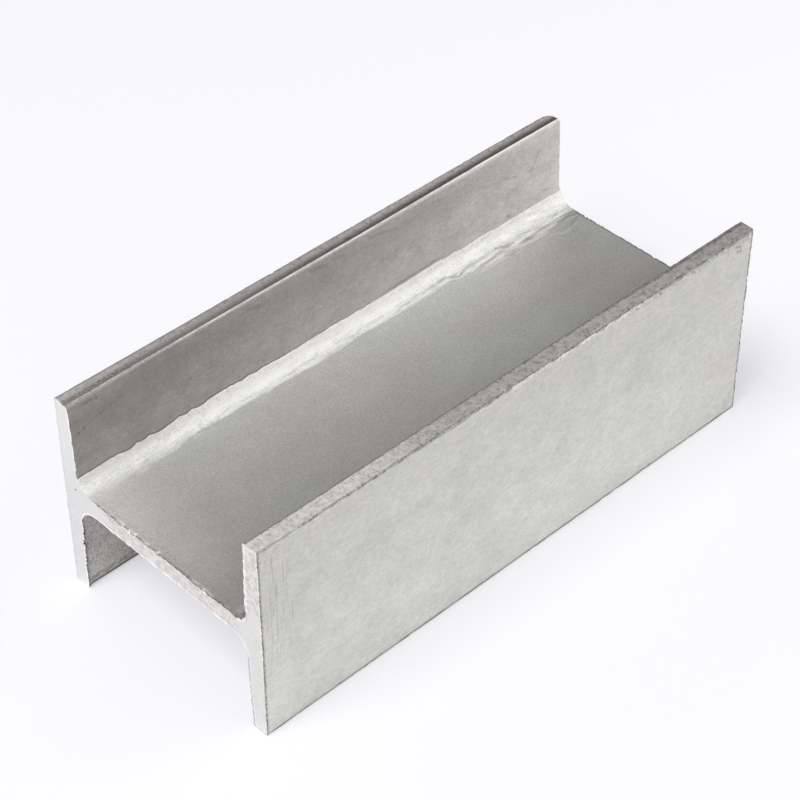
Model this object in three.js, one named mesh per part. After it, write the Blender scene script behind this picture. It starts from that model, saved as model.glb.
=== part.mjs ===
// A short saw-cut length of hot-rolled wide-flange beam, lying on the toes of its flanges.
// Millimetres. +X runs along the beam, +Y across its depth and +Z up, parallel to the flanges.
// The origin is on the floor, under the middle of the beam.

import * as THREE from 'three'

// ---- driving dimensions ----

const LENGTH = 233
const DEPTH = 100              // over the two flanges' outer faces
const FLANGE_WIDTH = 84        // from toe to toe, so also the height as it lies
const WEB_THICKNESS = 7.5
const WEB_OFF_CENTRE = 1.5     // the web's middle stands this much above the flanges' middle
const TOE_THICKNESS = 6.4      // of a flange, measured at its toes
const ROOT_THICKNESS = 7.8     // of a flange, measured where its inner face would meet the web
const ROOT_RADIUS = 8          // of the four fillets between web and flanges
const OUTER_TOE_RADIUS = 0.5   // of the barely broken corners at the flanges' outer faces
const INNER_TOE_RADIUS = 1.5   // of the rolled corners at their inner faces
const ARC_STEPS = 6            // half the number of facets on each round stretch

// ---- the section ----

// Half of the section's corners, for the flange on the +Y side, from the web's lower face outwards and round
// the flange to the web's upper face. Each is a point of the sharp outline and the radius that rounds it.
function flangeCorners () {
  const outer = DEPTH / 2
  const toe = outer - TOE_THICKNESS
  const root = outer - ROOT_THICKNESS
  const webMiddle = FLANGE_WIDTH / 2 + WEB_OFF_CENTRE
  const webBottom = webMiddle - WEB_THICKNESS / 2
  const webTop = webMiddle + WEB_THICKNESS / 2
  return [
    { at: new THREE.Vector2(root, webBottom), radius: ROOT_RADIUS },
    { at: new THREE.Vector2(toe, 0), radius: INNER_TOE_RADIUS },
    { at: new THREE.Vector2(outer, 0), radius: OUTER_TOE_RADIUS },
    { at: new THREE.Vector2(outer, FLANGE_WIDTH), radius: OUTER_TOE_RADIUS },
    { at: new THREE.Vector2(toe, FLANGE_WIDTH), radius: INNER_TOE_RADIUS },
    { at: new THREE.Vector2(root, webTop), radius: ROOT_RADIUS }
  ]
}

// The same corners on the -Y side, in the order that carries on round the outline.
function mirroredCorners (corners) {
  return corners.map(({ at, radius }) => ({ at: new THREE.Vector2(-at.x, at.y), radius })).reverse()
}

// A closed shape through the corners, each one rounded by an arc that touches both of its sides.
function roundedShape (corners) {
  const shape = new THREE.Shape()
  corners.forEach(({ at, radius }, i) => {
    const before = corners.at(i - 1).at.clone().sub(at).normalize()
    const after = corners[(i + 1) % corners.length].at.clone().sub(at).normalize()
    const halfAngle = Math.acos(before.dot(after)) / 2
    const reach = radius / Math.tan(halfAngle)
    const start = at.clone().addScaledVector(before, reach)
    const end = at.clone().addScaledVector(after, reach)
    const centre = before.clone().add(after).setLength(radius / Math.sin(halfAngle)).add(at)
    const clockwise = before.cross(after) > 0
    if (i === 0) shape.moveTo(start.x, start.y)
    else shape.lineTo(start.x, start.y)
    shape.absarc(centre.x, centre.y, radius, start.clone().sub(centre).angle(),
      end.clone().sub(centre).angle(), clockwise)
  })
  shape.closePath()
  return shape
}

// ---- the beam ----

const steel = new THREE.MeshStandardMaterial({ color: 0xb9b7b2, roughness: 0.5, metalness: 0.85 })

function beam () {
  const flange = flangeCorners()
  const section = roundedShape([...flange, ...mirroredCorners(flange)])
  const geometry = new THREE.ExtrudeGeometry(section, {
    depth: LENGTH,
    bevelEnabled: false,
    curveSegments: ARC_STEPS
  })
  const mesh = new THREE.Mesh(geometry, steel)
  mesh.name = 'i_beam'
  // The section's x and y lie along +Y and +Z, and its depth along +X.
  mesh.rotation.set(Math.PI / 2, Math.PI / 2, 0)
  mesh.position.x = -LENGTH / 2
  return mesh
}

const group = new THREE.Group()
group.add(beam())

export default group
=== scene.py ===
"""The looks of a short saw-cut length of wide-flange steel beam, blasted matt, lying on its flange toes.

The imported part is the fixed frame. One detailed closed mesh stands for its node: the same section, swept
along the beam, with the wavy ground strip in the roots, the nicked toes and the ragged saw cuts that a plain
extrusion lacks. Lengths here are millimetres unless a name says otherwise; the mesh is written in metres.
"""

import math

import bpy
import numpy as np
from mathutils import Matrix, Vector
from mathutils.geometry import delaunay_2d_cdt


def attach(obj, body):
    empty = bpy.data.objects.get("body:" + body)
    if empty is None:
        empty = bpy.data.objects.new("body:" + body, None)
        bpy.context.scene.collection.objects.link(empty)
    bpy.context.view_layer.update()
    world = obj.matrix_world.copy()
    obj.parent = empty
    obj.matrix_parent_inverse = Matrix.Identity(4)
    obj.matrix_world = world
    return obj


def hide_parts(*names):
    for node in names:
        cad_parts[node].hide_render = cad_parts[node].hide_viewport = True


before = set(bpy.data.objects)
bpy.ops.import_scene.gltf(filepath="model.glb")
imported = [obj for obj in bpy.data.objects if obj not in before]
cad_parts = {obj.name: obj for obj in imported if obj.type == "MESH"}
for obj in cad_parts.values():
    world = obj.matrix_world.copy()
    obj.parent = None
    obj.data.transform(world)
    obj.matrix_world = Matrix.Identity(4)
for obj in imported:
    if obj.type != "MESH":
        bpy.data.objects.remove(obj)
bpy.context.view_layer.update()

MM = 0.001

# ---- the section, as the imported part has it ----

LENGTH = 233
DEPTH = 100
FLANGE_WIDTH = 84
WEB_THICKNESS = 7.5
WEB_OFF_CENTRE = 1.5
TOE_THICKNESS = 6.4
ROOT_THICKNESS = 7.8
ROOT_RADIUS = 8
OUTER_TOE_RADIUS = 0.5
INNER_TOE_RADIUS = 1.5

WEB_MIDDLE = FLANGE_WIDTH / 2 + WEB_OFF_CENTRE
WEB_TOP = WEB_MIDDLE + WEB_THICKNESS / 2
WEB_BOTTOM = WEB_MIDDLE - WEB_THICKNESS / 2

# ---- the mesh's pitches and the relief's sizes ----

PLAIN_PITCH = 3.2  # on the plain faces, round the outline
PLAIN_STATIONS = 3  # and along the beam
PITCH_GROWTH = 0.45  # how fast the pitch opens out beside a finer band, in mm per mm
END_PITCH = 0.52  # round the outline at the cut ends
CAP_PITCH = 0.95  # inside the cut faces
END_RINGS = (0, 0.14, 0.38, 0.78, 1.35, 2.2)  # the skin's rings near a cut, by their distance from it
END_INSET = 0.3  # the cut face lies this far inside the part's end, where its burr reaches

CORNER_RADIUS = 4  # of the knocked corner at the far end of the back flange, in plan
CORNER_FADE = (62, 76)  # the heights between which it comes in

ROOM = 0.06  # how far the skin lies inside the plain section, for the relief that stands out
BUCKLE, RIPPLE = 0.06, 0.02  # half the depth of the skin's slow waves, and of its quicker ones
MARK_DEPTH = 0.18  # of a mark in a strip whose depth is 1
GROUND_OUT = 2.3  # how deep the upper front root is ground out at the near end
TOE_DRIFT = 0.4  # how far the line rolled in along the back toe drifts outwards by the far end
CUT_BURR = 0.14  # how far the cut's burr stands out along the beam, on average
CAP_DEPTH = 0.05  # how deep the sawn face lies inside the cut plane, on average
CAP_MARGIN = 0.55  # how far its inner points keep from the outline
SHARP_ANGLE = math.radians(38)

SEED = 11


# ---- numbers ----

def value_noise(p, q, pitch_p, pitch_q, number):
    """Smooth noise from -1 to 1 over two coordinates, each with its pitch; each number gives another one."""
    a, b = np.broadcast_arrays(np.asarray(p, float) / pitch_p, np.asarray(q, float) / pitch_q)
    a, b = a - np.floor(a.min()), b - np.floor(b.min())
    lattice = np.random.default_rng(SEED + number).uniform(-1, 1, (int(a.max()) + 2, int(b.max()) + 2))
    i, j = a.astype(int), b.astype(int)
    s, t = a - i, b - j
    s, t = s * s * (3 - 2 * s), t * t * (3 - 2 * t)
    low = lattice[i, j] * (1 - t) + lattice[i, j + 1] * t
    high = lattice[i + 1, j] * (1 - t) + lattice[i + 1, j + 1] * t
    return low * (1 - s) + high * s


def line_noise(p, pitch, number):
    return value_noise(p, 0, pitch, 1, number)


def hump(t):
    """1 at t = 0, falling smoothly to 0 at t = -1 and 1."""
    return np.clip(1 - t * t, 0, None) ** 2


def ease(value, low, high):
    """Smoothly from 0, where value is low, to 1, where it is high."""
    t = np.clip((value - low) / (high - low), 0, 1)
    return t * t * (3 - 2 * t)


# ---- the section's outline ----

def flange_corners():
    """The sharp outline's corners and their radii on the +Y side, from the web's lower face to its upper."""
    outer = DEPTH / 2
    toe = outer - TOE_THICKNESS
    root = outer - ROOT_THICKNESS
    return [
        (root, WEB_BOTTOM, ROOT_RADIUS),
        (toe, 0, INNER_TOE_RADIUS),
        (outer, 0, OUTER_TOE_RADIUS),
        (outer, FLANGE_WIDTH, OUTER_TOE_RADIUS),
        (toe, FLANGE_WIDTH, INNER_TOE_RADIUS),
        (root, WEB_TOP, ROOT_RADIUS),
    ]


STRETCHES = (  # round the outline, the rolled corners included
    "lower_back_root", "lower_back_inner",
    "back_foot_inner_arc", "back_foot", "back_foot_outer_arc", "back_outer",
    "back_toe_outer_arc", "back_toe", "back_toe_inner_arc",
    "upper_back_inner", "upper_back_root", "web_upper", "upper_front_root", "upper_front_inner",
    "front_toe_inner_arc", "front_toe", "front_toe_outer_arc", "front_outer",
    "front_foot_outer_arc", "front_foot", "front_foot_inner_arc",
    "lower_front_inner", "lower_front_root", "web_lower",
)


class Outline:
    """The rounded section, walked anticlockwise by its length, in the order of STRETCHES.

    Each stretch has a start point, a heading, a length and a curvature, which is 0 on the straight ones.
    """

    def __init__(self):
        half = flange_corners()
        corners = half + [(-y, z, r) for y, z, r in reversed(half)]
        points = np.array([(y, z) for y, z, _ in corners])
        stretches = []
        for i, (_, _, radius) in enumerate(corners):
            before = points[i - 1] - points[i]
            after = points[(i + 1) % len(points)] - points[i]
            before /= np.linalg.norm(before)
            after /= np.linalg.norm(after)
            turn = math.pi - math.acos(before @ after)
            reach = radius * math.tan(turn / 2)
            sign = np.sign(after[0] * before[1] - after[1] * before[0])
            arc_heading = math.atan2(-before[1], -before[0])
            stretches.append([points[i] + before * reach, arc_heading, radius * turn, sign / radius])
            stretches.append([points[i] + after * reach, math.atan2(after[1], after[0]), 0, 0])
        for i in range(1, len(stretches), 2):
            stretches[i][2] = np.linalg.norm(stretches[(i + 1) % len(stretches)][0] - stretches[i][0])
        self.points, self.headings, self.lengths, self.curvatures = map(np.array, zip(*stretches))
        self.starts = np.concatenate(([0], np.cumsum(self.lengths)[:-1]))
        self.total = self.lengths.sum()

    def at(self, u):
        """Points and outward normals, in Y and Z, at lengths u round the outline."""
        u = np.mod(u, self.total)
        i = np.searchsorted(self.starts, u, side="right") - 1
        s, k, h = u - self.starts[i], self.curvatures[i], self.headings[i]
        chord = s * np.sinc(k * s / 2 / np.pi)
        middle = h + k * s / 2
        points = self.points[i] + chord[:, None] * np.stack([np.cos(middle), np.sin(middle)], 1)
        heading = h + k * s
        return points, np.stack([np.sin(heading), -np.cos(heading)], 1)

    def gap(self, u, mark):
        """How far u is past the mark, the shorter way round."""
        return (u - mark + self.total / 2) % self.total - self.total / 2

    def span(self, first, last=None):
        """Where the stretch called first starts, and where last (or first itself) ends."""
        i, j = STRETCHES.index(first), STRETCHES.index(last or first)
        return self.starts[i], self.starts[j] + self.lengths[j]


outline = Outline()

STRIP_FROM_FLANGE = 2.35  # from the end of a root's fillet to its strip's border, round the outline
STRIP_WIDTH = 8.2
# Each root's strip: the length round the outline of its border on the flange, and the way to the web.
STRIPS = tuple(
    (outline.span(f"{name}_root")[0] + STRIP_FROM_FLANGE, 1)
    if name in ("upper_back", "lower_front")
    else (outline.span(f"{name}_root")[1] - STRIP_FROM_FLANGE, -1)
    for name in ("upper_back", "upper_front", "lower_front", "lower_back")
)
# Each toe's middle round the outline, and the way to the flange's outer face.
TOES = tuple(
    (sum(outline.span(name)) / 2, way)
    for name, way in (("back_toe", -1), ("front_toe", 1), ("front_foot", -1), ("back_foot", 1))
)
TOE_FLAT = outline.lengths[STRETCHES.index("front_toe")] / 2  # half a toe's flat width


def nearest(u, marks):
    """Which of the marks round the outline is nearest each u, and how far past it u is, its own way."""
    away = np.stack([way * outline.gap(u, at) for at, way in marks])
    which = np.abs(away).argmin(0)
    return which, np.take_along_axis(away, which[None], 0)[0]


# ---- relief ----

def strip_border(which, x):
    """How far each strip's upper border strays from its mean line, in mm towards the web."""
    stray = np.zeros_like(x)
    calm = 0.35 + 0.65 * ease(x, -25, -50) + 0.3 * ease(x, 35, 55)
    for i in range(len(STRIPS)):
        scallops = 0.9 * np.abs(line_noise(x, 6.3, 10 + i)) - 0.35
        slow = 0.28 * line_noise(x, 24, i)
        stray = np.where(which == i, slow + calm * scallops + 0.1 * line_noise(x, 1.7, 20 + i), stray)
    return stray


def chips(rng, count, u_mid, u_spread, x_low, x_high, half_x, half_u, depth):
    """Random shallow chips: rows of (u, x, half length along x, half width round the outline, depth)."""
    return np.stack([
        u_mid + rng.uniform(-u_spread, u_spread, count),
        rng.uniform(x_low, x_high, count),
        rng.uniform(*half_x, count),
        rng.uniform(*half_u, count),
        depth[0] + (depth[1] - depth[0]) * rng.random(count) ** 2,
    ], 1)


CUT = LENGTH / 2 - END_INSET

# Chips along the beam's edges: stretch, how many, the x they lie between, half length and width, depth.
EDGE_CHIPS = (
    ("front_toe_outer_arc", 110, (-CUT, 40), (0.3, 1.1), (0.3, 0.7), (0.05, 0.22)),
    ("front_toe_outer_arc", 110, (-20, CUT), (0.4, 1.7), (0.4, 1.5), (0.08, 0.36)),
    ("front_toe_inner_arc", 90, (-CUT, CUT), (0.4, 1.8), (0.5, 1.2), (0.05, 0.26)),
    ("back_toe_outer_arc", 90, (-CUT, CUT), (0.3, 1.4), (0.3, 0.8), (0.05, 0.24)),
    ("back_toe_inner_arc", 40, (-CUT, -40), (0.5, 2), (0.5, 1.1), (0.03, 0.16)),
    ("back_toe_inner_arc", 30, (-20, CUT), (0.4, 1.4), (0.4, 0.8), (0.03, 0.14)),
    ("front_foot_outer_arc", 60, (-CUT, CUT), (0.6, 2.4), (0.5, 1.1), (0.05, 0.28)),
    ("back_foot_outer_arc", 60, (-CUT, CUT), (0.6, 2.4), (0.5, 1.1), (0.05, 0.28)),
)
# And at the cut ends: end, stretch, how many, their share of the stretch, half length and width, depth.
CUT_CHIPS = (
    (-1, "web_upper", 34, (0.04, 0.5), (0.5, 1.4), (0.35, 1), (0.14, 0.55)),
    (-1, "web_upper", 9, (0.66, 0.98), (0.6, 1.1), (1.6, 3.6), (0.15, 0.4)),
    (-1, "lower_back_inner", 30, (0.15, 0.7), (0.6, 1.5), (0.3, 0.8), (0.16, 0.55)),
    (-1, "web_lower", 14, (0, 1), (0.3, 0.8), (0.6, 2.2), (0.05, 0.25)),
    (-1, "upper_front_inner", 12, (0.1, 0.9), (0.3, 0.8), (0.4, 1.2), (0.05, 0.2)),
    (-1, "front_outer", 16, (0, 1), (0.2, 0.5), (0.4, 1.6), (0.04, 0.16)),
    (-1, "upper_back_inner", 12, (0.3, 1), (0.4, 0.9), (0.3, 0.8), (0.06, 0.3)),
    (1, "web_upper", 30, (0, 1), (0.4, 1.2), (0.3, 1.4), (0.06, 0.35)),
    (1, "front_outer", 40, (0, 1), (0.3, 0.9), (0.4, 1.6), (0.06, 0.3)),
    (1, "back_outer", 30, (0, 1), (0.3, 0.9), (0.4, 1.6), (0.06, 0.3)),
)
ROUND_CHIPS = (130, (0.3, 0.8), (0.3, 1.2), (0.03, 0.17))  # all round each end: how many, half sizes, depth


def all_chips():
    rng = np.random.default_rng(SEED)
    rows = []
    for name, count, (low, high), half_x, half_u, depth in EDGE_CHIPS:
        rows.append(chips(rng, count, sum(outline.span(name)) / 2, 0.5, low, high, half_x, half_u, depth))
    for end, name, count, (low, high), half_x, half_u, depth in CUT_CHIPS:
        start, stop = outline.span(name)
        middle, reach = start + (stop - start) * (low + high) / 2, (stop - start) * (high - low) / 2
        rows.append(chips(rng, count, middle, reach, end * CUT, end * CUT, half_x, half_u, depth))
    count, *sizes = ROUND_CHIPS
    for end in (-CUT, CUT):
        rows.append(chips(rng, count, outline.total / 2, outline.total / 2, end, end, *sizes))
    return np.concatenate(rows)


# Marks in the upper back root: start and end, each as X and the distance from the strip's border, half width,
# and depth, which is below 0 for a ridge.
STRIP_MARKS = (
    ((47.1, 6.3), (53.6, 7.3), 0.46, 0.35),
    ((53.6, 7.3), (55.7, 8.6), 0.46, 0.4),
    ((55.7, 8.6), (58.6, 8), 0.46, 0.4),
    ((58.6, 8), (62.4, 6.9), 0.46, 0.26),
    ((62.4, 6.9), (72, 7.3), 0.43, 0.19),
    ((46, 7.9), (51.8, 7.9), 0.53, -0.68),
    ((51.8, 7.9), (55.7, 9.6), 0.53, -0.81),
    ((55.7, 9.6), (63, 8.8), 0.53, -0.81),
    ((63, 8.8), (75, 8.3), 0.46, -0.54),
    ((64, 9.3), (78.6, 9), 0.46, 0.26),
    ((74.5, 9.8), (82, 9.6), 0.53, -0.81),
    ((76.8, 6.6), (79.4, 7.9), 0.55, 0.4),
    ((79.3, 6.9), (82.5, 8.4), 0.6, 0.46),
    ((82, 7.3), (84.8, 8.4), 0.52, 0.4),
    ((88, 6.9), (98.6, 8.4), 0.39, 0.24),
    ((89.3, 9.5), (91.4, 10.5), 0.52, 0.19),
    ((81.4, 10.3), (90, 11.2), 0.46, -0.61),
    ((84.3, 12.2), (98.6, 13), 0.46, -0.68),
    ((76.4, 12.1), (79.8, 12.9), 0.52, 0.22),
    ((101.4, 16.8), (105.7, 17.4), 0.53, -0.47),
    ((105.7, 17.4), (111, 16), 0.53, -0.47),
    ((96.4, 15), (102, 16), 0.46, -0.3),
    ((106, 11), (115.5, 11.9), 0.53, 0.42),
    ((108, 16), (115.5, 13), 0.6, 0.26),
    ((-27, 6.9), (-12, 5.8), 0.45, 0.14),
    ((-20, 8.2), (-11, 7.4), 0.53, -0.6),
    ((-3.5, 5.9), (6.5, 7), 0.49, 0.15),
    ((6.7, 5.7), (19, 6.3), 0.6, 0.14),
    ((18, 7.6), (26, 6.4), 0.56, -0.6),
    ((25, 7.5), (32, 6.9), 0.49, 0.18),
    ((28, 8.5), (42, 8.1), 0.64, -0.72),
    ((39, 7), (44.6, 6.3), 0.53, 0.18),
    ((-69.5, 7.9), (-61, 8.1), 0.45, 0.14),
    ((-61, 8.1), (-51, 6), 0.49, 0.14),
    ((-58, 7.8), (-51.7, 7.2), 0.6, -0.6),
    ((-51.7, 7.2), (-40, 8), 0.6, -0.6),
)


def strip_marks(strip, x):
    """The marks' relief, from -1 to 1, where they lie."""
    total = np.zeros_like(x)
    for (x0, s0), (x1, s1), half_width, depth in STRIP_MARKS:
        dx, ds = x1 - x0, s1 - s0
        share = np.clip(((x - x0) * dx + (strip - s0) * ds) / (dx * dx + ds * ds), 0, 1)
        gap = np.hypot(x - x0 - share * dx, strip - s0 - share * ds)
        total = total - depth * ease(gap, 1.4 * half_width, 0.4 * half_width)
    return np.clip(total, -1, 1)


def strip_relief(which, strip, u, x):
    """A root's strip: a lip at the flange, a ripple like a weld's, and drawn-out ridges towards the web."""
    lip = ease(strip, -0.08, 0.22) * ease(strip, 7.5, 1)
    out = lip * (0.2 + 0.07 * line_noise(x, 9, 43))
    groove = (0.2 - 0.1 * ease(x, -60, 0)) * (1 + 0.6 * line_noise(x, 7, 42))
    out = out - groove * np.exp(-((strip + 0.1) / 0.28) ** 2)
    out = out + hump((strip - 3.2) / 4) * 0.1 * value_noise(u, x, 1.7, 4.2, 41)
    slanting = u + np.where(which % 2, -0.03, 0.03) * x + 0.7 * line_noise(x, 10, 51)
    slanting = slanting + 0.3 * value_noise(u, x, 2.2, 3.6, 52)
    ridge = 1 - 2.2 * np.abs(value_noise(slanting, x, 1.25, 9, 44))
    far = ease(x, 34, 58)
    fringe = STRIP_WIDTH + 0.6 + 3.6 * ease(x, 45, 75)
    drawn = ease(strip, 3.2, 6) * ease(strip, fringe, fringe - 1.4)
    drawn = drawn * (0.3 + 0.7 * ease(x, -95, -45))
    torn = ease(strip, 4.4, 6.2) * ease(strip, fringe + 0.6, fringe - 1)
    torn = torn * far * ease(x, 116, 106)
    crumple = value_noise(slanting, x, 0.85, 5.2, 45) * (0.55 + 0.6 * value_noise(u, x, 3.5, 6, 55))
    out = out + drawn * 0.12 * ridge + torn * 0.12 * crumple
    out = out + np.where(which == 0, MARK_DEPTH * strip_marks(strip, x), 0)
    ridge = np.clip(drawn * (0.5 + 0.2 * far) * ridge + torn * 0.7 * crumple, -1, 1)
    ground_out = GROUND_OUT * hump((strip - 3.9) / 6.4) * ease(x, -98, -112)
    return out - np.where(which == 1, ground_out, 0), ridge


def toe_relief(which, toe, u, x):
    """A toe: shallow marks, a line rolled in along the back one, and the front one's sharper inner corner."""
    on_toe = ease(toe, -3.2, -2.5) * ease(toe, 2.9, 2.4)
    marks = 0.035 * value_noise(u, x, 2.6, 1.3, 46) + 0.03 * value_noise(u, x, 1.2, 2.2, 47)
    shifted = toe - TOE_DRIFT * ease(x, -5, 90)
    line = 0.1 * np.exp(-((shifted + 2.1) / 0.45) ** 2) * (1 + 0.5 * line_noise(x, 9, 48))
    rolled = np.where(which == 0, 0.14 * np.exp(-((shifted + 3.05) / 0.32) ** 2) - line, 0)
    rolled = rolled - np.where(which == 0, 0.45 * hump((toe + 2.8) / 2.1) * ease(x, -78, -108), 0)
    turn = np.clip((-toe - TOE_FLAT) / INNER_TOE_RADIUS, 0, math.pi / 2)
    square = INNER_TOE_RADIUS * (1 / np.cos(np.minimum(turn, math.pi / 2 - turn)) - 1)
    crest = np.where((which == 1) & (toe > -6), 0.85 * square, 0)
    return on_toe * marks + rolled + crest


def sawn_burr(toe, u, x):
    """The burr that the saw left round the near end, on the flanges' inner sides."""
    sides = np.zeros_like(x)
    for name in ("upper_back_inner", "upper_front_inner", "lower_back_inner", "lower_front_inner"):
        low, high = outline.span(name)
        sides = sides + ease(u, low, low + 2) * ease(u, high, high - 2)
    corner = ease(toe, -2.5, -3.7) * ease(toe, -8, -5)
    height = 0.42 + 0.16 * line_noise(u, 1.6, 53) + 0.1 * line_noise(u, 5, 54)
    return np.maximum(np.minimum(sides, 1), corner) * height * ease(x, -114.2, -116.1)


def relief(u, x):
    """How far the skin stands out from the plain section, in mm, and the masks that the material reads."""
    which, strip = nearest(u, STRIPS)
    which_toe, toe = nearest(u, TOES)
    strip = strip - strip_border(which, x)
    out = -BUCKLE * (1 + value_noise(u, x, 23, 31, 40))
    out = out - RIPPLE * (1 + value_noise(u, x, 7, 12, 49)) - ROOM
    in_root, ridge = strip_relief(which, strip, u, x)
    out = out + in_root + toe_relief(which_toe, toe, u, x) + sawn_burr(toe, u, x)
    nick = np.zeros_like(x)
    for cu, cx, half_x, half_u, depth in all_chips():
        near = np.flatnonzero(np.abs(x - cx) < half_x)
        cut = depth * hump((x[near] - cx) / half_x) * hump(outline.gap(u[near], cu) / half_u)
        out[near] -= cut
        nick[near] = np.maximum(nick[near], cut / 0.3)
    return out, {"strip_mm": strip, "toe_mm": toe, "ridge": ridge, "nick": np.clip(nick, 0, 1),
                 "edge_mm": np.zeros_like(x)}


def knock_corner(x, y, z):
    """Pulls the points of one square corner in plan onto a round one, near the back flange's far top."""
    dx = np.clip(x - (LENGTH / 2 - CORNER_RADIUS), 0, None)
    dy = np.clip(y - (DEPTH / 2 - CORNER_RADIUS), 0, None)
    away = np.hypot(dx, dy)
    keep = np.where(away > 0, np.maximum(dx, dy) / np.maximum(away, 1e-9), 1)
    pull = (1 - keep) * ease(z, *CORNER_FADE)
    return x - dx * pull, y - dy * pull


# ---- the mesh ----

def show(name, data):
    piece = bpy.data.objects.new(name, data)
    bpy.context.scene.collection.objects.link(piece)
    return piece


# Bands with finer pitches: first and last stretch, margins, pitch round the outline, pitch along the beam.
FINE_BANDS = (
    ("lower_back_root", "lower_back_root", (0, 0), 1, 1.3),
    ("back_foot_inner_arc", "back_foot_outer_arc", (0.3, 0.6), 0.66, 1),
    ("back_toe_outer_arc", "back_toe_inner_arc", (0.7, 0.4), 0.4, 0.52),
    ("upper_back_root", "upper_back_root", (0.3, 3.6), 0.4, 0.52),
    ("upper_front_root", "upper_front_root", (1, 0), 0.6, 0.9),
    ("front_toe_inner_arc", "front_toe_outer_arc", (0.4, 1.6), 0.4, 0.52),
    ("front_foot_outer_arc", "front_foot_inner_arc", (0.6, 0.3), 0.66, 1),
    ("lower_front_root", "lower_front_root", (0, 0), 1, 1.3),
)


def spread(low, high, pitch):
    """Numbers from low to high, spaced by the local pitch: pitch(u) gives it on any array of numbers."""
    fine = np.linspace(low, high, max(8, int((high - low) / 0.02)))
    count = np.concatenate(([0], np.cumsum(np.diff(fine) / pitch((fine[1:] + fine[:-1]) / 2))))
    wanted = np.linspace(0, count[-1], max(1, round(count[-1])) + 1)
    return np.interp(wanted, count, fine)


def evenly(low, high, pitch):
    return np.linspace(low, high, round((high - low) / pitch) + 1)


def bands():
    """The outline's bands, in order: the lengths round it, and the pitch along the beam."""
    spans = []
    for first, last, (before, after), pitch, stations in FINE_BANDS:
        start, stop = outline.span(first, last)
        spans.append((start - before, stop + after, pitch, stations))
    made = []
    for i, (start, stop, pitch, stations) in enumerate(spans):
        made.append((evenly(start, stop, pitch), stations))
        ahead, _, next_pitch, _ = spans[(i + 1) % len(spans)]
        ahead += outline.total if i == len(spans) - 1 else 0

        def opening(u):
            return np.minimum.reduce([np.full_like(u, PLAIN_PITCH), pitch + PITCH_GROWTH * (u - stop),
                                      next_pitch + PITCH_GROWTH * (ahead - u)])

        made.append((spread(stop, ahead, opening)[1:-1], PLAIN_STATIONS))
    return made


def zip_columns(left, left_x, right, right_x):
    """Triangles between two columns of vertices along the beam, the left one at the smaller length round."""
    faces = []
    i = j = 0
    while i < len(left) - 1 or j < len(right) - 1:
        if j == len(right) - 1 or (i < len(left) - 1 and left_x[i + 1] <= right_x[j + 1]):
            faces.append((left[i], right[j], left[i + 1]))
            i += 1
        else:
            faces.append((left[i], right[j], right[j + 1]))
            j += 1
    return faces


def zip_rings(low, low_u, high, high_u):
    """Triangles between two closed rings of vertices, the low one at the smaller x."""
    faces = zip_columns(np.append(low, low[0]), np.append(low_u, outline.total),
                        np.append(high, high[0]), np.append(high_u, outline.total))
    return [face[::-1] for face in faces]


def grid_quads(grid, closed):
    """Quads of one grid of vertex numbers, whose rows go round the outline and follow each other in x."""
    after = np.roll(grid, -1, 1) if closed else grid[:, 1:]
    here = grid if closed else grid[:, :-1]
    return np.stack([here[:-1], after[:-1], after[1:], here[1:]], -1).reshape(-1, 4).tolist()


def cap_points(ring):
    """Points inside the section on a slightly shaken grid that keeps clear of the outline, and how clear."""
    rng = np.random.default_rng(SEED + 60)
    y, z = np.meshgrid(np.arange(-DEPTH / 2, DEPTH / 2, CAP_PITCH), np.arange(0, FLANGE_WIDTH, CAP_PITCH))
    grid = np.stack([y.ravel(), z.ravel()], 1) + rng.uniform(-0.2, 0.2, (y.size, 2)) * CAP_PITCH
    after = np.roll(ring, -1, 0)
    inside = np.zeros(len(grid), bool)
    for (y0, z0), (y1, z1) in zip(ring, after):
        crosses = (z0 > grid[:, 1]) != (z1 > grid[:, 1])
        if crosses.any():
            inside ^= crosses & (grid[:, 0] < (y1 - y0) * (grid[:, 1] - z0) / (z1 - z0) + y0)
    gaps = np.array([np.hypot(*(ring - g).T).min() for g in grid[inside]])
    return grid[inside][gaps > CAP_MARGIN], gaps[gaps > CAP_MARGIN]


def cap_relief(y, z, end):
    """How far the sawn face lies inside the cut plane, with its saw lines."""
    saw = 0.03 * line_noise(z, 0.9, 61 + end) + 0.02 * value_noise(y, z, 9, 1.4, 62 + end)
    return CAP_DEPTH + saw


END_U = evenly(0, outline.total, END_PITCH)[:-1]  # the lengths round the outline at the cut ends


def skin_grids():
    """The skin's vertices, as lengths round the outline and along the beam, and grids of their numbers."""
    reach = CUT - END_RINGS[-1]
    end_x = np.array(END_RINGS[:-1]) - CUT
    patches = [(END_U, end_x), (END_U, -end_x[::-1])]
    patches += [(u, evenly(-reach, reach, stations)) for u, stations in bands()]
    us, xs, grids = [], [], []
    first = 0
    for patch_u, patch_x in patches:
        grid_x, grid_u = np.meshgrid(patch_x, patch_u, indexing="ij")
        us.append(grid_u.ravel())
        xs.append(grid_x.ravel())
        grids.append(first + np.arange(grid_u.size).reshape(grid_u.shape))
        first += grid_u.size
    return np.concatenate(us), np.concatenate(xs), grids


def skin_points(u, x):
    """Where the skin's vertices lie, inside the part's box, and the masks there."""
    out, masks = relief(u, x)
    section, normal = outline.at(u)
    y, z = (section + normal * out[:, None]).T
    burr = np.sign(x) * CUT_BURR * (1 + value_noise(u, x, 0.9, 9, 50))
    x = x + np.where(np.abs(np.abs(x) - CUT) < 1e-6, burr, 0)
    return np.stack([x, np.clip(y, -DEPTH / 2, DEPTH / 2), np.clip(z, 0, FLANGE_WIDTH)], 1), masks


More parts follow.
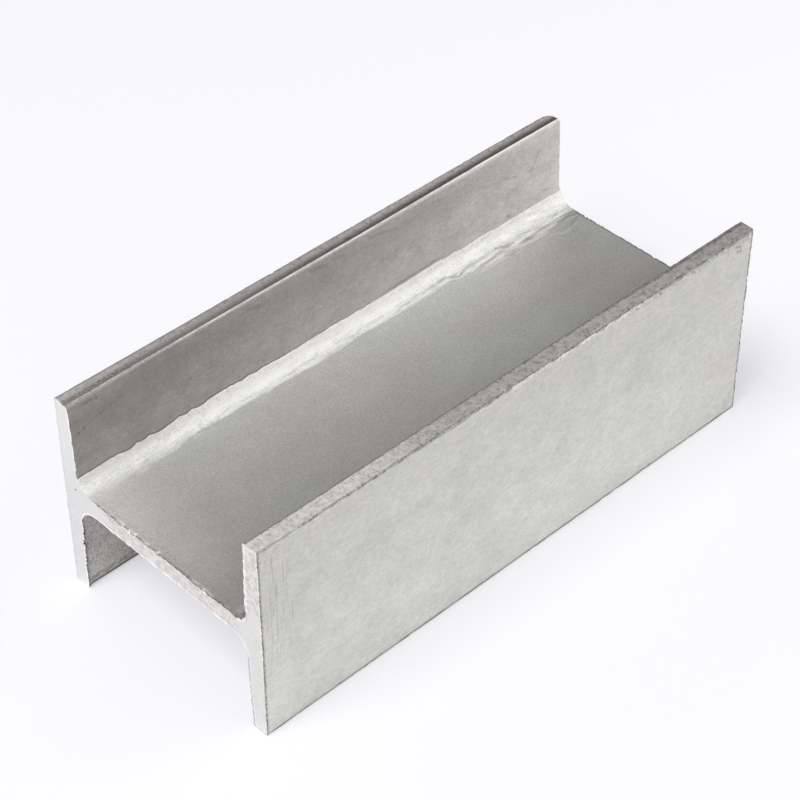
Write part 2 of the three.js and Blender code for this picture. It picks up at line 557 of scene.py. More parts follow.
def skin_faces(u, x, grids):
    low_end, high_end, *middle = grids
    faces = grid_quads(low_end, True) + grid_quads(high_end, True)
    for k, grid in enumerate(middle):
        faces += grid_quads(grid, False)
        beside = middle[(k + 1) % len(middle)]
        faces += zip_columns(grid[:, -1], x[grid[:, -1]], beside[:, 0], x[beside[:, 0]])
    first_ring = np.concatenate([grid[0] for grid in middle])
    last_ring = np.concatenate([grid[-1] for grid in middle])
    faces += zip_rings(low_end[-1], u[low_end[-1]], first_ring, u[first_ring])
    return faces + zip_rings(last_ring, u[last_ring], high_end[0], u[high_end[0]])


def caps(borders, first):
    """The cut faces' inner points, their faces, and how far inside the outline the points lie.

    The borders are the skin's vertex numbers round the low cut and the high one; first is the next number.
    """
    ring, _ = outline.at(END_U)
    inner, gaps = cap_points(ring)
    loop = list(range(len(ring)))
    edges = list(zip(loop, loop[1:] + loop[:1]))
    flat = [Vector(p) for p in np.concatenate([ring, inner])]
    made, _, triangles, origins, _, _ = delaunay_2d_cdt(flat, edges, [], 1, 1e-5)
    assert len(made) == len(flat), "the cap's outline crosses itself"
    points, faces = [], []
    for end, border in zip((-1, 1), borders):
        numbers = np.concatenate([border, first + np.arange(len(inner))])
        first += len(inner)
        depth = cap_relief(inner[:, 0], inner[:, 1], end)
        points.append(np.stack([end * (CUT - depth), inner[:, 0], inner[:, 1]], 1))
        faces += [tuple(numbers[origins[v][0]] for v in t[::end]) for t in triangles]  # to face outwards
    return points, faces, np.concatenate([gaps, gaps])


def beam_mesh():
    """The points, the masks at them, the skin's faces and the cut ends' faces."""
    u, x, grids = skin_grids()
    skin, masks = skin_points(u, x)
    ends, end_faces, gaps = caps((grids[0][0], grids[1][-1]), len(u))
    points = np.concatenate([skin, *ends])
    points[:, 0], points[:, 1] = knock_corner(*points.T)
    # The caps read edge_mm only: how far inside the outline a point lies.
    masks = {name: np.concatenate([values, gaps]) for name, values in masks.items()}
    return points, masks, skin_faces(u, x, grids), end_faces


def beam_piece(rolled, sawn):
    points, masks, skin, ends = beam_mesh()
    mesh = bpy.data.meshes.new("steel_beam")
    mesh.from_pydata((points * MM).tolist(), [], skin + ends)
    for name, values in masks.items():
        mesh.attributes.new(name, "FLOAT", "POINT").data.foreach_set("value", values.astype(np.float32))
    mesh.materials.append(rolled)
    mesh.materials.append(sawn)
    mesh.polygons.foreach_set("material_index", [0] * len(skin) + [1] * len(ends))
    mesh.shade_smooth()
    mesh.set_sharp_from_angle(angle=SHARP_ANGLE)
    mesh.validate()
    return show("steel_beam", mesh)


# ---- materials ----

class Value:
    """A node's output, for expressions: sums, differences and products make the nodes they need."""

    def __init__(self, nodes, socket):
        self.nodes, self.socket = nodes, socket

    def __add__(self, other):
        return self.nodes.math("ADD", self, other)

    def __sub__(self, other):
        return self.nodes.math("SUBTRACT", self, other)

    def __rsub__(self, other):
        return self.nodes.math("SUBTRACT", other, self)

    def __mul__(self, other):
        return self.nodes.math("MULTIPLY", self, other)

    def __abs__(self):
        return self.nodes.math("ABSOLUTE", self)

    def ease(self, low, high, to_low=0, to_high=1):
        """Smoothly from to_low, where this value is low, to to_high, where it is high."""
        inputs = {"Value": self, "From Min": low, "From Max": high, "To Min": to_low, "To Max": to_high}
        return self.nodes.make("MapRange", inputs, interpolation_type="SMOOTHSTEP")

    def tint(self, factor):
        """1, or this factor where the mask is 1."""
        return self.ease(0, 1, 1, factor)

    def stray(self, reach):
        """From -reach to reach, following a noise."""
        return self.ease(0.3, 0.7, -reach, reach)

    def swing(self, depth):
        """A factor round 1 that strays with a noise, by up to about depth / 3 either way."""
        return (self - 0.5) * depth + 1


class Nodes:
    """The node tree of a material or a world. An input is a number, a tuple or a Value."""

    def __init__(self, owner):
        owner.use_nodes = True
        self.owner, self.tree = owner, owner.node_tree

    def put(self, socket, value):
        if isinstance(value, Value):
            self.tree.links.new(value.socket, socket)
        else:
            socket.default_value = value

    def make(self, kind, inputs, output=0, **settings):
        node = self.tree.nodes.new("ShaderNode" + kind)
        for name, value in settings.items():
            setattr(node, name, value)
        for key, value in inputs.items():
            self.put(node.inputs[key], value)
        return Value(self, node.outputs[output])

    def math(self, operation, a, b=0):
        return self.make("Math", {0: a, 1: b}, operation=operation)

    def vector(self, operation, a, b, output="Vector"):
        return self.make("VectorMath", {0: a, 1: b}, output, operation=operation)

    def attribute(self, name):
        return self.make("Attribute", {}, "Fac", attribute_name=name)

    def place(self, scale=(1, 1, 1), offset=(0, 0, 0)):
        """The piece's own coordinates in millimetres, stretched by scale and moved by offset."""
        own = self.make("TexCoord", {}, "Object")
        return self.vector("ADD", self.vector("MULTIPLY", own, tuple(s / MM for s in scale)), offset)

    def split(self, vector):
        separated = self.make("SeparateXYZ", {"Vector": vector}).socket.node
        return [Value(self, socket) for socket in separated.outputs]

    def point(self, x, y):
        return self.make("CombineXYZ", {"X": x, "Y": y})

    def noise(self, size, detail, roughness=0.5, scale=(1, 1, 1), offset=(0, 0, 0)):
        """Noise from about 0.2 to 0.8, with features size / scale millimetres long."""
        inputs = {"Vector": self.place(scale, offset), "Scale": 1 / size, "Detail": detail}
        return self.make("TexNoise", {**inputs, "Roughness": roughness}, "Fac")

    def most(self, *values):
        total = values[0]
        for value in values[1:]:
            total = self.math("MAXIMUM", total, value)
        return total

    def mix(self, factor, a, b, blend="MIX"):
        return self.make("Mix", {0: factor, 6: a, 7: b}, 2, data_type="RGBA", blend_type=blend)

    def toned(self, colour, tone):
        return self.mix(1, colour, tone, "MULTIPLY")

    def near_segment(self, here, start, end, half_width):
        """1 within half_width of the segment from start to end, for here's X and Y, softly 0 outside."""
        start, end = Vector((*start, 0)), Vector((*end, 0))
        along = end - start
        away = self.vector("SUBTRACT", here, start)
        share = self.vector("DOT_PRODUCT", away, along / along.length_squared, "Value")
        share = self.make("Clamp", {"Value": share})
        foot = self.make("VectorMath", {0: along, "Scale": share}, operation="SCALE")
        gap = self.vector("DISTANCE", away, foot, "Value")
        return gap.ease(half_width * 1.4, half_width * 0.4)

    def marks(self, here, rows):
        """Two masks of rows of marks, for here's X and Y: those with a depth above 0, and those below."""
        above, below = 0, 0
        for start, end, half_width, depth in rows:
            mark = self.near_segment(here, start, end, half_width) * abs(depth)
            if depth > 0:
                above = self.most(above, mark)
            else:
                below = self.most(below, mark)
        return above, below

    def bump(self, height, strength, distance):
        inputs = {"Height": height, "Strength": strength, "Distance": distance * MM}
        return self.make("Bump", inputs, "Normal")

    def surface(self, inputs):
        """Sets the inputs of the material's surface and gives the material."""
        for name, value in inputs.items():
            self.put(self.tree.nodes["Principled BSDF"].inputs[name], value)
        return self.owner


# Scratches and pits that stand out: start and end on the face, half width, how dark (below 0: bright).
BACK_INNER_MARKS = (  # in X and Z, on the back flange's inner face
    ((105.7, 75.7), (102.6, 71.4), 0.26, 0.3),
    ((101.4, 69.8), (100.4, 68.6), 0.55, 0.42),
    ((86.6, 72), (89.4, 71), 0.3, 0.22),
    ((91.2, 70.6), (93.4, 69.4), 0.3, 0.22),
    ((94, 72.8), (99.5, 72.8), 0.35, 0.12),
    ((77.5, 79.8), (83.5, 81.4), 0.45, 0.14),
    ((-113, 70.6), (-112.3, 70.7), 0.42, 0.34),
    ((-111, 71.2), (-110.6, 71.3), 0.5, 0.4),
    ((-108.5, 72.2), (-94, 75.6), 0.32, 0.16),
    ((-110.5, 81), (-106, 80.7), 0.5, 0.38),
    ((-104.6, 80.9), (-104.1, 80.2), 0.5, 0.45),
    ((-88.6, 62.4), (-83, 62.6), 0.25, -0.16),
    ((-88, 61.2), (-84.2, 61.4), 0.22, -0.12),
    ((-90, 59.4), (-86.5, 59.2), 0.25, -0.1),
    ((64, 56.2), (72.5, 56), 0.4, 0.12),
    ((88.2, 54.6), (89.2, 53.6), 0.55, 0.4),
    ((107.5, 56.3), (110.5, 55.8), 0.5, 0.2),
    ((-39, 80.4), (-33.5, 79), 1, 0.2),
    ((-9.5, 80.8), (-4, 80.2), 0.9, 0.22),
    ((-3.5, 80.4), (-1.5, 78.4), 0.7, 0.2),
    ((0.5, 80.8), (6.5, 79.4), 0.6, 0.16),
    ((19, 80.2), (25, 79.8), 0.8, 0.2),
    ((25.5, 79.6), (31.5, 78), 0.6, 0.16),
    ((50, 79.8), (54, 79.2), 0.7, 0.18),
    ((28, 57.6), (60, 57.2), 0.4, -0.09),
    ((46, 55.6), (96, 56), 0.4, -0.1),
    ((60, 59.3), (88, 59.7), 0.35, -0.07),
)
FRONT_OUTER_MARKS = (  # in X and Z, on the front flange's outer face
    ((-113.6, 77.6), (-107.6, 81.6), 0.3, 0.2),
    ((107.2, 80.6), (109.6, 79.6), 0.7, 0.42),
    ((108.6, 77.6), (110.4, 77.2), 0.7, 0.4),
    ((110.8, 81.4), (113, 80.8), 0.5, 0.25),
    ((55, 82.2), (56.2, 81.6), 0.5, 0.45),
    ((66.9, 82.3), (67.9, 81.7), 0.6, 0.45),
    ((83.6, 82.4), (85.2, 81.6), 0.6, 0.4),
)

# The dark marks' colour: real dirt, scale and nicks, and painted shade and contact shadow.
DIRT_AND_SHADE = (0.08, 0.07, 0.061, 1)
BARE_METAL_AND_HIGHLIGHT = (0.95, 0.94, 0.92, 1)  # fresh metal in scratches and on worn edges, and painted highlights on edges and ridges
# Painted shade in the strip's grooves.
GROOVE_SHADE = (0.16, 0.155, 0.145, 1)


def rolled_steel():
    n = Nodes(bpy.data.materials.new("rolled_steel"))
    x, y, z = n.split(n.place())
    strip, toe, nick, ridge = (n.attribute(name) for name in ("strip_mm", "toe_mm", "nick", "ridge"))

    grain = n.noise(0.45, 1)
    specks = n.noise(0.7, 0, offset=(3, 0, 0))
    mottle = n.noise(1.5, 2, 0.6, (0.6, 1, 1))
    clouds = n.noise(9, 2, 0.55, (0.75, 1, 1), (7, 3, 1))
    drift = n.noise(42, 1, 0.5, (0.6, 1, 1), (2, 9, 4))
    streaks = n.noise(0.85, 2, 0.55, (0.07, 1, 1))
    patches = n.noise(2, 1, 0.5, (0.35, 1, 1), (0, 0, 5))
    ragged = n.noise(0.85, 2, 0.6, offset=(0, 0, 9))
    blots = n.noise(1.7, 2, 0.6, (0.8, 1, 1), (0, 5, 0))
    ticks = n.noise(0.6, 1, 0.5, (1, 0.28, 1), (0, 5, 0))
    strokes = n.noise(0.5, 1, 0.5, (0.7, 1, 0.5))
    saw_lines = n.noise(0.42, 1, 0.5, (1, 1, 0.03))

    # Masks: 1 on the part of the skin they are named for, softly 0 off it.
    front, back = y.ease(1, -1), y.ease(-1, 1)
    upper, at_top = z.ease(43, 44), z.ease(79, 81)
    upper_back = back * upper
    outer = toe.ease(2.65, 2.95)
    on_toe = toe.ease(-2.95, -2.6) * toe.ease(2.95, 2.65)
    inner = toe.ease(-2.8, -3.1) * strip.ease(0.12, -0.1)
    below = z.ease(43.5, 42.5) * toe.ease(-1.5, -3)
    on_web = strip.ease(STRIP_WIDTH, STRIP_WIDTH + 2)
    fringe = strip + streaks.stray(-0.9) - x.ease(45, 75, 0, 0.7)
    soft = x.ease(-100, -60, 1.4, 0)
    on_strip = (strip.ease(-0.05, 0.1) * n.most(back, x.ease(-104, -88), z.ease(42, 41))
                * fringe.ease(soft + (STRIP_WIDTH + 0.6), STRIP_WIDTH - 0.6 - soft))

    # The bare steel's colour, face by face, with painted light and shade on most faces.
    hue = drift + y.ease(-36, 30, -0.12, 0.08) + x.ease(-114, -74, -0.4, 0) + x.ease(-60, 30, -0.03, 0.08)
    hue = hue - x.ease(62, 74) * x.ease(102, 90) * strip.ease(26, 16) * 0.22
    colour = n.mix(hue.ease(0.4, 0.62), (0.665, 0.644, 0.625, 1), (0.652, 0.661, 0.635, 1))
    # Painted shade on the web: darker towards the front flange and at the far end, lighter at the near end.
    web_painted_shade = (y.ease(-42, 12, 0.54, 0.9) * y.ease(4, 20, 1, 1.09) * x.ease(50, 116, 1, 0.9)
           * x.ease(-116, -88, 1.2, 1) * (y.ease(-5, -35) * x.ease(40, 90)).tint(0.88)
           * (y.ease(-5, -30) * x.ease(-70, -20) * x.ease(40, 0)).tint(1.12))
    colour = n.mix(on_web, colour, n.toned(colour, web_painted_shade))
    # Painted light and shade on the flanges' inner faces: darker towards the near end, lighter towards the
    # far end and at the very top.
    inner_painted_light = (x.ease(-118, 40, 0.7, 0.97) * x.ease(30, 100, 1, 1.12) * z.ease(78, 59, 0.945, 1.045)
                  * z.ease(78, 80.5, 1, 1.08) * (z.ease(73, 80.5) * x.ease(-78, -100)).tint(1.13))
    colour = n.mix(inner, colour, n.toned((0.553, 0.533, 0.513, 1), inner_painted_light))
    # Painted shade under the web: its faces darker, most of all next to the web and away from the near end.
    under_web_painted_shade = z.ease(40, 31, 0.74, 1) * x.ease(-106, -86, 1, 0.84)
    colour = n.mix(below, colour, n.toned((0.48, 0.465, 0.448, 1), under_web_painted_shade))
    # Painted light on the outer faces: lighter towards the floor, which they mirror.
    plain = n.mix(z.ease(5, 82), (0.627, 0.63, 0.597, 1), (0.565, 0.568, 0.538, 1))
    rims = n.most(z.ease(62, 80), x.ease(60, 112), x.ease(-102, -113) * z.ease(30, 60))
    warm = clouds.ease(0.44, 0.56) * 0.8 * rims
    colour = n.mix(outer, colour, n.mix(warm, plain, (0.565, 0.547, 0.522, 1)))
    # Painted light and shade on the toes along the beam: the back toe darker towards the far end, the front
    # one darker beyond the near end and lighter again at the far end.
    toe_painted_light = n.mix(back, x.ease(-80, -25, 0.95, 0.64) * x.ease(60, 100, 1.03, 0.93),
                     x.ease(-112, -72, 0.72, 0.61) * x.ease(-25, 45, 0.98, 1.13))
    tanned = back * n.most(toe.ease(0.6, -1.6), clouds.ease(0.45, 0.55) * x.ease(-102, -88))
    toe_steel = n.mix(tanned, (0.862, 0.822, 0.797, 1), (0.87, 0.8, 0.76, 1))
    colour = n.mix(on_toe, colour, n.toned(toe_steel, toe_painted_light))
    # The strips' pale ground steel, its brightness partly a painted highlight.
    strip_steel_and_highlight = n.mix(strip.ease(1, 4), (0.955, 0.925, 0.9, 1), (0.975, 0.972, 0.94, 1))
    colour = n.mix(on_strip, colour, strip_steel_and_highlight)

    # Finer tones: all over, on the toes, on the strips, and on single faces.
    calm = 1 - n.most(outer, on_strip * 0.35)
    tone = grain.swing(calm.ease(0, 1, 0.25, 0.46)) * drift.swing(0.14)
    tone *= mottle.swing(n.most(outer * 0.32, inner * 0.36, 0.06))
    tone *= clouds.swing(n.most(outer * 0.28, inner * 0.46, 0.14))
    tone *= (specks.ease(0.6, 0.76) * calm).tint(1.1)
    tone *= (specks.ease(0.4, 0.24) * calm).tint(0.92)
    crossed = ticks.ease(0.52, 0.7) * blots.ease(0.42, 0.56)
    tone *= (on_toe * crossed).tint(x.ease(-70, -20, 0.76, 0.62))
    tone *= blots.swing(on_toe * -0.7)
    # On the strips, their painted highlight is dimmed at the near end and, far along, towards the web; on
    # their ridges, crests get a painted highlight and hollows painted shade.
    tone *= (on_strip * x.ease(0, 60)).tint(strip.ease(3.5, 6, 0.92, 0.86))
    tone *= (on_strip * x.ease(-25, -112)).tint(0.86)
    tone *= (on_strip * strip.ease(4.2, 7.8)).tint(0.83)
    tone *= on_strip.tint(0.96)
    tone *= ridge.ease(-0.9, 0, 0.7, 1) * ridge.ease(0, 0.9, 1, on_strip.ease(0, 1, 1.35, 1.08))
    tone *= ragged.swing(on_strip * -0.42)
    tone *= mottle.swing(on_strip * 0.2)
    tone *= patches.swing(on_strip * 0.25)
    tone *= (on_strip * streaks.ease(0.46, 0.7) * strip.ease(0.6, 3)).ease(0, 1, 1.02, 0.93)
    # Painted shadow in patches under the strip's lip, along its upper border.
    tone *= (on_strip * patches.ease(0.4, 0.66) * strip.ease(3.6, 0.8)).ease(0, 1, 1.02, 0.9)
    drawn_out = upper_back * x.ease(52, 76) * strip.ease(7.2, 9.2) * strip.ease(15, 11.5)
    tone *= streaks.swing(drawn_out) * drawn_out.tint(1.09)
    tone *= (outer * specks.ease(0.36, 0.24)).tint(0.89)
    tone *= (below * strokes.ease(0.4, 0.7)).ease(0, 1, 1.07, 0.78)
    tone *= (inner * z.ease(68, 82) * clouds.ease(0.4, 0.6)).tint(0.88)
    colour = n.toned(colour, tone)

    # Bare metal and painted highlights along the upper edges, and the dark lines beside them, partly painted
    # shade.
    # Along the front toe's outer edge: crumbs of bare metal with painted glints, and dark specks among them.
    crumb_edge = toe + blots.stray(1.1)
    near_top = z.ease(78, 80)
    crumbs_and_glints = (toe.ease(2.75, 3) * crumb_edge.ease(4.9, 3.4) * x.ease(-25, 20, 0.08, 0.6)
              * x.ease(45, 80, 1, 0.6) * near_top)
    smudge = (toe.ease(2.8, 3) * crumb_edge.ease(6.2, 3.2) * x.ease(36, 95, 0, 0.62)
              * ragged.ease(0.4, 0.58) * near_top)
    colour = n.mix(crumbs_and_glints * patches.ease(0.4, 0.52), colour, BARE_METAL_AND_HIGHLIGHT)
    drifted = toe - x.ease(-5, 90, 0, TOE_DRIFT)
    # Painted highlight along the back toe's inner edge, where its round would catch the light.
    painted_edge_highlight = (drifted.ease(-2.72, -2.95) * drifted.ease(-3.75, -3.3) * back * at_top
           * patches.ease(0.34, 0.6, 0.35, 0.85) * x.ease(-100, -50, 0.5, 0.85)
           * (x.ease(-60, -85) * ragged.ease(0.52, 0.38)).tint(0.15))
    colour = n.mix(painted_edge_highlight, colour, BARE_METAL_AND_HIGHLIGHT)
    dashed = ragged.ease(0.38, 0.6)
    edge_end = toe + patches.ease(0.36, 0.62, -0.3, 0.35)
    edge_end = edge_end - n.most(x.ease(2, -12, 0, 0.42), x.ease(40, 70, 0, 0.42))
    edge_line = (toe.ease(1.9, 2.55) * edge_end.ease(3.7, 2.85) * dashed.ease(0, 1, 0.72, 0.36)
                 * x.ease(-106, -90, 0.6, 1))
    shifted = drifted + blots.stray(0.4)
    spreading = shifted - x.ease(0, 60, 0, 0.36)
    # Painted shade over the back toe's inner part beside its rolled line, widening towards the far end; near
    # the near end, torn dark specks and a dark line along its outer edge.
    rolled_line_shade_and_dark_edges = spreading.ease(0.6, -2.5) * drifted.ease(-2.9, -2.65) * x.ease(-70, 20, 0.62, 0.9)
    torn_edge = shifted + ragged.stray(0.5)
    crumbly = (torn_edge.ease(-0.7, -1.2) * torn_edge.ease(-2.9, -2.4) * x.ease(-62, -88)
               * specks.ease(0.64, 0.46, 0.36, 0.66))
    outer_line = toe.ease(1.2, 2.2) * x.ease(-70, -104, 0.3, 0.5)
    rolled_line_shade_and_dark_edges = n.most(rolled_line_shade_and_dark_edges, crumbly, outer_line) * back * at_top
    shade_edge = toe + ragged.stray(0.35) - x.ease(30, 85, -0.25, 0.6)
    shade_line = (shade_edge.ease(-2.1, -2.8) * toe.ease(-4.4, -3.4) * front * at_top
                  * x.ease(-90, 20, 0.42, 0.72) * mottle.ease(0.36, 0.6, 1, 0.72))

    # Scale and dirt beside the strips and at the cuts, painted shade in the strips' border grooves, and
    # painted contact shadow near the floor.
    # Painted shade in the groove along each strip's upper border, and a dark seam a little above the back
    # one's border.
    seam = strip.ease(-1.7, -1.1) * strip.ease(-0.4, -0.9) * x.ease(12, 34) * x.ease(58, 48) * 0.34
    lip_groove_shade = n.most(strip.ease(-0.8, -0.12) * strip.ease(0.1, -0.02) * x.ease(-60, 20, 0.5, 0.12),
                      seam * upper_back)
    cut_line = (abs(x).ease(115.1, 116) * dashed.ease(0, 1, 0.7, 0.35)
                * n.most(outer, strip.ease(9, 12), below))
    # Painted contact shadow along the flanges' feet on the floor.
    floor_contact_shadow = z.ease(1.9, 0.3) * abs(toe).ease(2.4, 2.9) * clouds.ease(0.4, 0.6, 0.6, 0.95)
    # Under the web: painted contact shadow at the floor, and a dashed dark band just above it.
    under_web_contact_shadow_and_dashes = n.most(z.ease(2.5, 1.1) * 0.9, z.ease(2.4, 3.2) * z.ease(5.4, 3.8) * dashed * 0.5) * below
    root_dirt = (front * strip.ease(-2, 1) * strip.ease(11, 6) * x.ease(-92, -108) * upper
                 * ragged.ease(0.3, 0.7, 0.35, 0.75))
    crust = strip.ease(9, 13) * x.ease(-111, -115.5) * upper * ragged.ease(0.44, 0.66) * 0.28
    worn = (x.ease(-115, -112) * x.ease(-101, -104) * z.ease(82, 76) * z.ease(28, 45) * outer
            * saw_lines.ease(0.54, 0.68) * 0.24)
    dark = n.most(edge_line, rolled_line_shade_and_dark_edges, shade_line, lip_groove_shade, cut_line, floor_contact_shadow, under_web_contact_shadow_and_dashes, root_dirt, crust,
                  worn, crumbs_and_glints * ragged.ease(0.37, 0.31) * 0.7, smudge, nick.ease(0.15, 0.95, 0, 0.66))

    # The marks: on the strip, a painted highlight on the ridges and painted shade in the grooves; on the
    # flanges, bright scratches and dark pits.
    grooves, ridges = n.marks(n.point(x, strip + patches.stray(0.3)), STRIP_MARKS)
    colour = n.mix(ridges * upper_back * streaks.ease(0.3, 0.6, 0.45, 1), colour, BARE_METAL_AND_HIGHLIGHT)
    colour = n.mix(grooves * upper_back, colour, GROOVE_SHADE)
    wobble = ragged.stray(0.45)
    here = n.point(x + wobble, z - wobble)
    pits, scratches = n.marks(here, BACK_INNER_MARKS)
    on_back = inner * upper_back
    colour = n.mix(scratches * on_back, colour, BARE_METAL_AND_HIGHLIGHT)
    front_pits, _ = n.marks(here, FRONT_OUTER_MARKS)
    dark = n.most(dark, pits * on_back, front_pits * outer * y.ease(-48, -49))

    height = streaks * strip.ease(0, 2) * strip.ease(16, 12) * 1.6 + (ridges - grooves) * upper_back * 1.2
    height = height + grain * 0.35 + blots * n.most(on_toe * 0.8, below * 0.4)
    return n.surface({"Base Color": n.mix(dark, colour, DIRT_AND_SHADE),
                      "Metallic": on_strip.ease(0, 1, 0.78, 0.2),
                      "Roughness": on_strip.ease(0, 1, 0.54, 0.52) + dark * 0.2,
                      "Normal": n.bump(height, 0.7, 0.13)})


SAWN_MARKS = (  # in Y and Z, on the near cut end
    ((44.6, 46), (44.1, 46.6), 0.35, 0.55),
    ((41.5, 51), (41.2, 51.4), 0.35, 0.45),
    ((23.2, 43.2), (23.6, 43.4), 0.3, 0.35),
    ((-44.2, 68.5), (-45, 68.9), 0.3, 0.3),
)


def sawn_steel():
    n = Nodes(bpy.data.materials.new("sawn_steel"))
    x, y, z = n.split(n.place())
    edge = n.attribute("edge_mm")
    grain = n.noise(0.5, 2, 0.6)
    saw = n.noise(0.6, 1, 0.5, (1, 0.12, 1))
    blots = n.noise(1.5, 2, 0.6, (1, 0.8, 1), (0, 0, 3))
    patches = n.noise(13, 1)

    # Rougher on the web and the front flange's upper part than on the back flange, and half as rough far off.
    rough = n.most(y.ease(34, 24) * y.ease(-42, -34), (z + blots.stray(7)).ease(52, 68),
                   x.ease(-1, 1, 0, 0.5)) * y.ease(38, 34)
    lit = n.mix(patches.ease(0.42, 0.6), (0.712, 0.714, 0.706, 1), (0.722, 0.716, 0.694, 1))
    lit_back = n.mix(z.ease(40, 76), (0.718, 0.722, 0.713, 1), (0.755, 0.758, 0.744, 1))
    colour = n.mix(y.ease(-20, 20), lit, lit_back)
    colour = n.mix(rough, colour, (0.75, 0.718, 0.696, 1))
    colour = n.toned(colour, grain.ease(0.3, 0.7, 0.95, 1.05) * saw.ease(0.3, 0.7, 0.988, 1.012))
    blotches = blots.ease(0.38, 0.62) * rough.ease(0, 1, 0.25, 1)
    colour = n.toned(colour, blotches.ease(0, 1, 1.06, 0.86))
    # Painted highlight along the cut face's edges, where the burr would catch the light.
    painted_edge_highlight = edge.ease(1.05, 0.3) * blots.ease(0.4, 0.6, 1, 0.5) * y.ease(48.8, 47.5)
    colour = n.mix(painted_edge_highlight, colour, (0.98, 0.955, 0.93, 1))

    pits = grain.ease(0.64, 0.76) * rough.ease(0, 1, 0.2, 0.45)
    # Painted shade along the web's lower cut edge, standing for its shaded underside.
    lower_edge_painted_shade = edge.ease(0.6, 0.2) * z.ease(37, 30) * y.ease(36, 30) * grain.ease(0.35, 0.6, 0.35, 0.62)
    outer_edge = edge.ease(0.8, 0.1) * y.ease(48.8, 49.6) * 0.13
    wobble = grain.stray(0.3)
    spots, _ = n.marks(n.point(y + wobble, z - wobble), SAWN_MARKS)
    dark = n.most(pits, lower_edge_painted_shade, outer_edge, spots * x.ease(0, -1))
    return n.surface({"Base Color": n.mix(dark, colour, (0.14, 0.125, 0.115, 1)),
                      "Metallic": 0.85,
                      "Roughness": grain.ease(0.3, 0.7, 0.48, 0.56),
                      "Normal": n.bump(grain + saw * 0.4, 0.5, 0.05)})


# ---- the floor ----

FLOOR_SIZE = 8  # metres
FLOOR_WHITE = (0.965, 0.958, 0.995, 1)
FLOOR_PLAIN = 0.5  # the share of the floor's white that no shadow darkens, as the camera sees it
FLOOR_PLAIN_MIRRORED = 0.3  # and as the metal mirrors it


def floor_material():
    """Near white, plain to the camera and to what the metal mirrors, with a share that takes the shadows."""
    n = Nodes(bpy.data.materials.new("pale_floor"))
    n.tree.nodes.remove(n.tree.nodes["Principled BSDF"])
    lit = n.make("BsdfDiffuse", {"Color": FLOOR_WHITE})
    plain = n.make("Emission", {"Color": FLOOR_WHITE, "Strength": 1})
    seen, mirrored = (n.make("LightPath", {}, ray) for ray in ("Is Camera Ray", "Is Glossy Ray"))
    share = n.most(seen * FLOOR_PLAIN, mirrored * FLOOR_PLAIN_MIRRORED)
    mixed = n.make("MixShader", {0: share, 1: lit, 2: plain})
    n.put(n.tree.nodes["Material Output"].inputs["Surface"], mixed)
    return n.owner


def floor():
    h = FLOOR_SIZE / 2
    mesh = bpy.data.meshes.new("floor")
    mesh.from_pydata([(-h, -h, 0), (h, -h, 0), (h, h, 0), (-h, h, 0)], [], [(0, 1, 2, 3)])
    mesh.materials.append(floor_material())
    show("floor", mesh)


# ---- the studio: angles in degrees, azimuths anticlockwise from +X, sizes in metres ----

# Softboxes: name, azimuth, elevation, distance, width, height, radiance at the face.
SOFTBOXES = (
    ("front_window", -28, 38, 0.8, 0.45, 0.4, 2.2),
    ("left_key", 183, 57, 2.4, 1.28, 1.28, 7.7),
)
AIM_HEIGHT = 0.04  # of the point over the floor that they face

WORLD_HEIGHTS = ((0.1, 1), (0.6, 0.8), (0.8, 0.4), (1, 0.33))  # sine of elevation, radiance
# The studio's dark sides: azimuth, elevation, the degrees round it to full dark and to its border, radiance.
DARK_SIDES = (
    (8, 40, 22, 52, 0.05),  # beyond the far end, which the web and the toes mirror
    (-85, 58, 14, 40, 0.1),  # high in front, which the back flange mirrors by way of the web
)


def direction(azimuth, elevation):
    a, e = math.radians(azimuth), math.radians(elevation)
    return Vector((math.cos(a) * math.cos(e), math.sin(a) * math.cos(e), math.sin(e)))


def softbox(name, azimuth, elevation, distance, width, height, radiance):
    """An upright rectangular area lamp that faces the beam."""
    way = direction(azimuth, elevation)
    light = bpy.data.lights.new(name, "AREA")
    light.shape = "RECTANGLE"
    light.size, light.size_y = width, height
    light.energy = radiance * math.pi * width * height
    lamp = show(name, light)
    lamp.location = way * distance + Vector((0, 0, AIM_HEIGHT))
    lamp.rotation_euler = way.to_track_quat("Z", "Y").to_euler()


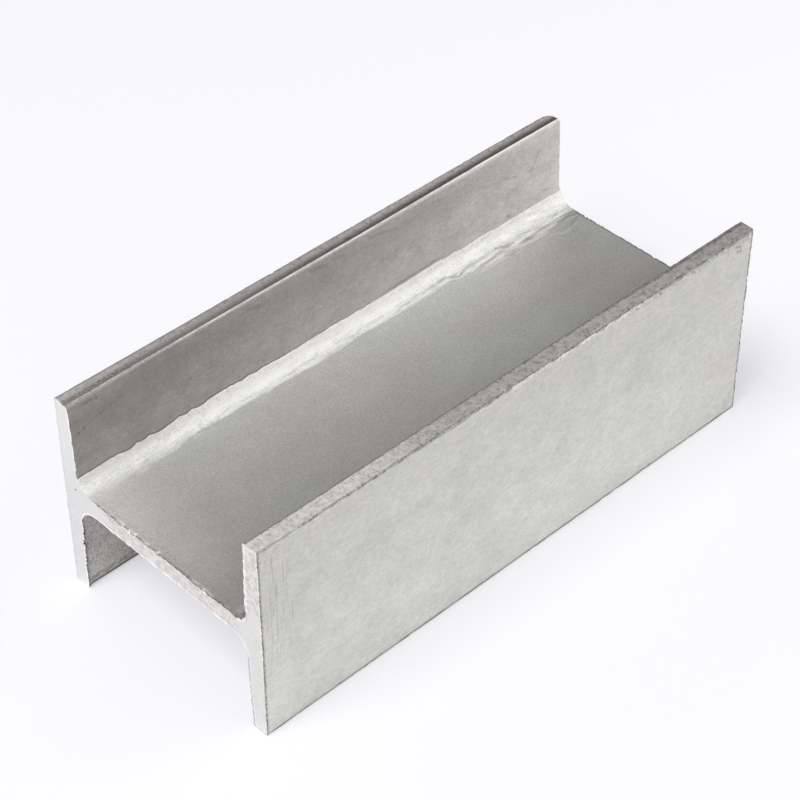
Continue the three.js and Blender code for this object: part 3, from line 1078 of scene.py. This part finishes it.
def studio_world():
    world = bpy.data.worlds.new("studio")
    bpy.context.scene.world = world
    n = Nodes(world)
    way = n.make("TexCoord", {}, "Generated")
    _, _, height = n.split(way)
    sky = n.make("ValToRGB", {"Fac": height})
    stops = sky.socket.node.color_ramp.elements
    while len(stops) < len(WORLD_HEIGHTS):
        stops.new(1)
    for stop, (at, radiance) in zip(stops, WORLD_HEIGHTS):
        stop.position, stop.color = at, (radiance, radiance, radiance, 1)
    for azimuth, elevation, inner, outer, radiance in DARK_SIDES:
        nearness = n.vector("DOT_PRODUCT", way, direction(azimuth, elevation), "Value")
        dark = nearness.ease(math.cos(math.radians(outer)), math.cos(math.radians(inner)))
        sky = n.make("Mix", {0: dark, 2: sky, 3: radiance})
    background = n.tree.nodes["Background"].inputs
    n.put(background["Strength"], sky)
    n.put(background["Color"], (1, 1, 1, 1))


# ---- the camera ----

CAMERA_PLACE = (-441.33, -454.86, 599.76)
CAMERA_AZIMUTH = 46.427  # of the view, in degrees as above
CAMERA_ELEVATION = -41.286
CAMERA_ROLL = 0.325
CAMERA_LENS = 108.539
SENSOR_WIDTH = 36
CAMERA_REACH = (0.02, 60)  # the nearest and the farthest things seen, in metres


def camera():
    data = bpy.data.cameras.new("camera")
    data.sensor_width, data.lens = SENSOR_WIDTH, CAMERA_LENS
    data.clip_start, data.clip_end = CAMERA_REACH
    view, r = direction(CAMERA_AZIMUTH, CAMERA_ELEVATION), math.radians(CAMERA_ROLL)
    right = view.cross(Vector((0, 0, 1))).normalized()
    down = view.cross(right)
    image_right = math.cos(r) * right + math.sin(r) * down
    image_up = math.sin(r) * right - math.cos(r) * down
    piece = show("camera", data)
    turn = Matrix((image_right, image_up, -view)).transposed().to_4x4()
    piece.matrix_world = Matrix.Translation(Vector(CAMERA_PLACE) * MM) @ turn
    bpy.context.scene.camera = piece


camera()
studio_world()
floor()
for box in SOFTBOXES:
    softbox(*box)

beam = beam_piece(rolled_steel(), sawn_steel())
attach(beam, "root")
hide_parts("i_beam")

bpy.context.scene.view_settings.view_transform = "Standard"
